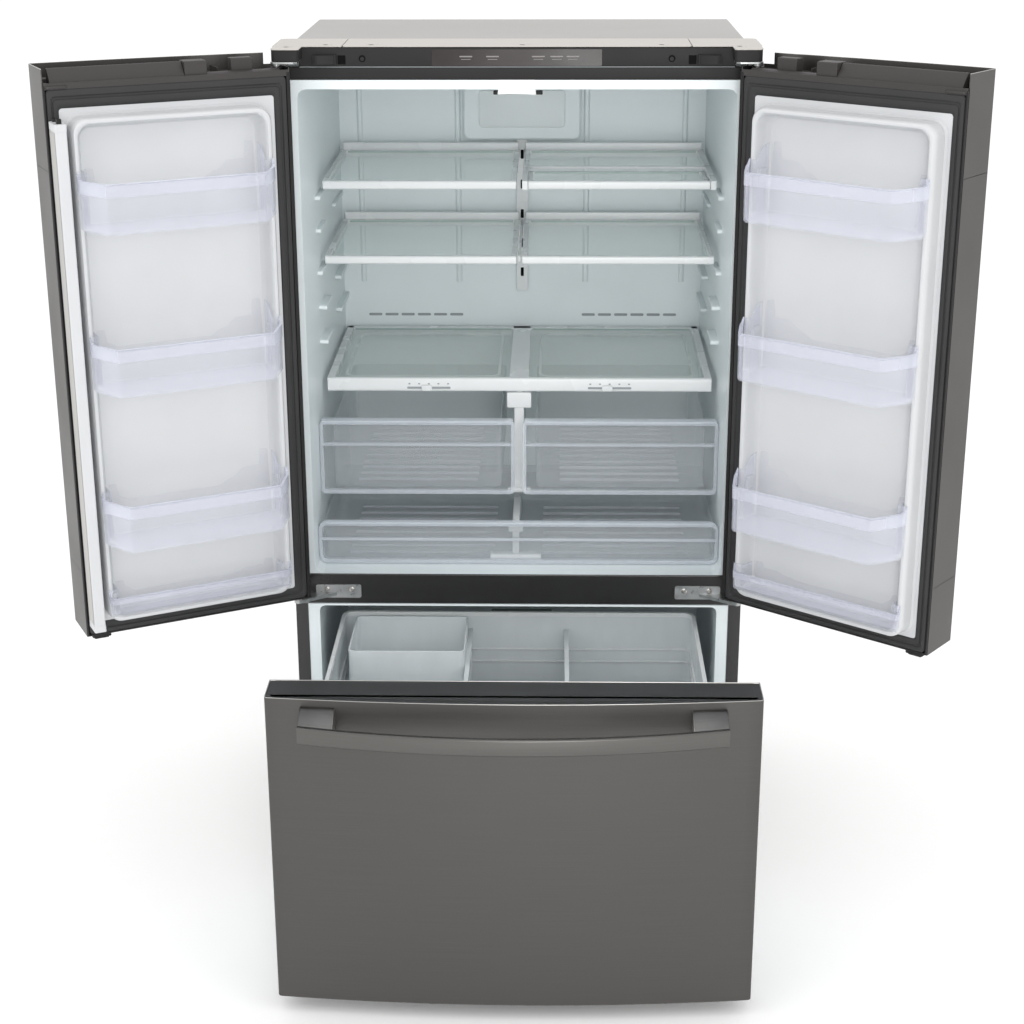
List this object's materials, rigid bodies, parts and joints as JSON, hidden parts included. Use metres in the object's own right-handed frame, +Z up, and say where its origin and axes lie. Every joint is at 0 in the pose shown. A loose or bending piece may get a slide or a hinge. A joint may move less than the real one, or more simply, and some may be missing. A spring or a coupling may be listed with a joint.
{
  "type": "french door refrigerator",
  "caption": "Free-standing refrigerator with hinged upper doors, a flip mullion, door bins, shelves, crispers and a pull-out freezer drawer below.",
  "frame": {"origin": "on the floor under the middle of the whole object's box, doors open and drawer pulled out", "axes": "+Z up, +Y towards the back of the cabinet, +X to the right as seen from the front"},
  "size_m": [1.6934, 1.3222, 1.7735],
  "materials": {
    "door_steel": "vertical brushed, satin",
    "handle_steel": "brushed along the bar",
    "case_paint": "satin baked enamel",
    "black_paint": "gloss black",
    "galvanised": "dull galvanised",
    "zinc_steel": "zinc plated",
    "cover_plastic": "fine moulded texture",
    "dark_plastic": "semi-gloss",
    "liner_white": "vacuum-formed, satin gloss",
    "door_liner_white": "vacuum-formed, satin gloss",
    "shelf_trim": "moulded, glossy",
    "clear_plastic": "clear polystyrene, polished",
    "gasket_rubber": "soft matte",
    "roller_nylon": "moulded"
  },
  "bodies": {
    "cabinet": {"cabinet_wrapper": "case_paint", "fridge_liner": "liner_white", "freezer_liner": "liner_white", "rear_panel": "galvanised", "compressor_cover": "galvanised", "centre_rail": "black_paint", "top_trim": "dark_plastic", "hinge_cover_left": "cover_plastic", "hinge_cover_right": "cover_plastic", "top_cover_centre": "cover_plastic", "top_hinge_left": "zinc_steel", "top_hinge_right": "zinc_steel", "middle_hinge_left": "zinc_steel", "middle_hinge_right": "zinc_steel", "air_duct_cover": "liner_white", "shelf_upper_left": "shelf_trim", "shelf_upper_right": "shelf_trim", "shelf_lower_left": "shelf_trim", "shelf_lower_right": "shelf_trim", "crisper_cover": "shelf_trim", "compressor": "black_paint", "base_grille": "dark_plastic", "leg_left": "zinc_steel", "leg_right": "zinc_steel"},
    "left_door": {"left_door_panel": "door_steel", "left_door_liner": "door_liner_white", "left_door_gasket": "gasket_rubber", "left_door_handle": "handle_steel", "left_bin_1": "clear_plastic", "left_bin_2": "clear_plastic", "left_bin_3": "clear_plastic", "left_bin_4": "clear_plastic"},
    "right_door": {"right_door_panel": "door_steel", "right_door_liner": "door_liner_white", "right_door_gasket": "gasket_rubber", "right_door_handle": "handle_steel", "right_bin_1": "clear_plastic", "right_bin_2": "clear_plastic", "right_bin_3": "clear_plastic", "right_bin_4": "clear_plastic"},
    "flip_mullion": {"flip_mullion": "door_liner_white"},
    "freezer_drawer": {"freezer_drawer_panel": "door_steel", "freezer_drawer_liner": "door_liner_white", "freezer_drawer_gasket": "gasket_rubber", "freezer_drawer_handle": "handle_steel", "freezer_drawer_frame": "shelf_trim", "freezer_basket": "clear_plastic"},
    "freezer_tray": {"freezer_tray": "clear_plastic"},
    "slide_middle_left": {"slide_middle_left": "zinc_steel"},
    "slide_middle_right": {"slide_middle_right": "zinc_steel"},
    "crisper_left": {"crisper_left": "clear_plastic"},
    "crisper_right": {"crisper_right": "clear_plastic"},
    "deli_drawer": {"deli_drawer": "clear_plastic"},
    "humidity_knob_left": {"humidity_knob_left": "dark_plastic"},
    "humidity_knob_right": {"humidity_knob_right": "dark_plastic"},
    "shelf_slide_under": {"shelf_slide_under": "shelf_trim"},
    "door_switch_left": {"door_switch_left": "dark_plastic"},
    "door_switch_right": {"door_switch_right": "dark_plastic"},
    "roller_left": {"roller_left": "roller_nylon"},
    "roller_right": {"roller_right": "roller_nylon"}
  },
  "joints": [
    {"name": "left_door_swing", "type": "hinge", "parent": "cabinet", "child": "left_door", "pos_m": [-0.42735, -0.13235, 0.697], "axis": [0, 0, -1], "range_deg": [-153.12, 0]},
    {"name": "right_door_swing", "type": "hinge", "parent": "cabinet", "child": "right_door", "pos_m": [0.45525, -0.13235, 0.697], "axis": [0, 0, 1], "range_deg": [-142.32, 10.8]},
    {"name": "mullion_flip", "type": "hinge", "parent": "left_door", "child": "flip_mullion", "pos_m": [-0.78354, -0.37254, 0.727], "axis": [0, 0, 1], "range_deg": [-90, 0]},
    {"name": "drawer_slide", "type": "slide", "parent": "cabinet", "child": "freezer_drawer", "axis": [0, -1, 0], "range_m": [-0.385, 0.045]},
    {"name": "slide_middle_left_travel", "type": "slide", "parent": "cabinet", "child": "slide_middle_left", "axis": [0, -1, 0], "range_m": [-0.1925, 0.0225]},
    {"name": "slide_middle_right_travel", "type": "slide", "parent": "cabinet", "child": "slide_middle_right", "axis": [0, -1, 0], "range_m": [-0.1925, 0.0225]},
    {"name": "tray_slide", "type": "slide", "parent": "freezer_drawer", "child": "freezer_tray", "axis": [0, -1, 0], "range_m": [0, 0.18]},
    {"name": "crisper_left_slide", "type": "slide", "parent": "cabinet", "child": "crisper_left", "axis": [0, -1, 0], "range_m": [0, 0.28]},
    {"name": "crisper_right_slide", "type": "slide", "parent": "cabinet", "child": "crisper_right", "axis": [0, -1, 0], "range_m": [0, 0.28]},
    {"name": "deli_drawer_slide", "type": "slide", "parent": "cabinet", "child": "deli_drawer", "axis": [0, -1, 0], "range_m": [0, 0.24]},
    {"name": "humidity_left_slide", "type": "slide", "parent": "cabinet", "child": "humidity_knob_left", "axis": [1, 0, 0], "range_m": [-0.025, 0.025]},
    {"name": "humidity_right_slide", "type": "slide", "parent": "cabinet", "child": "humidity_knob_right", "axis": [1, 0, 0], "range_m": [-0.025, 0.025]},
    {"name": "shelf_slide", "type": "slide", "parent": "cabinet", "child": "shelf_slide_under", "axis": [0, 1, 0], "range_m": [0, 0.155]},
    {"name": "door_switch_left_press", "type": "hinge", "parent": "cabinet", "child": "door_switch_left", "pos_m": [-0.32405, -0.09515, 1.7485], "axis": [0, 0, 1], "range_deg": [-12, 0], "stiffness_Nm_per_rad": 0.05},
    {"name": "door_switch_right_press", "type": "hinge", "parent": "cabinet", "child": "door_switch_right", "pos_m": [0.35195, -0.09515, 1.7485], "axis": [0, 0, -1], "range_deg": [-12, 0], "stiffness_Nm_per_rad": 0.05},
    {"name": "roller_left_spin", "type": "hinge", "parent": "cabinet", "child": "roller_left", "pos_m": [-0.36605, 0.58885, 0.022], "axis": [1, 0, 0], "continuous": true},
    {"name": "roller_right_spin", "type": "hinge", "parent": "cabinet", "child": "roller_right", "pos_m": [0.39395, 0.58885, 0.022], "axis": [1, 0, 0], "continuous": true}
  ],
  "couplings": [
    {"joint": "slide_middle_left_travel", "follows": "drawer_slide", "ratio": 0.5},
    {"joint": "slide_middle_right_travel", "follows": "drawer_slide", "ratio": 0.5}
  ]
}
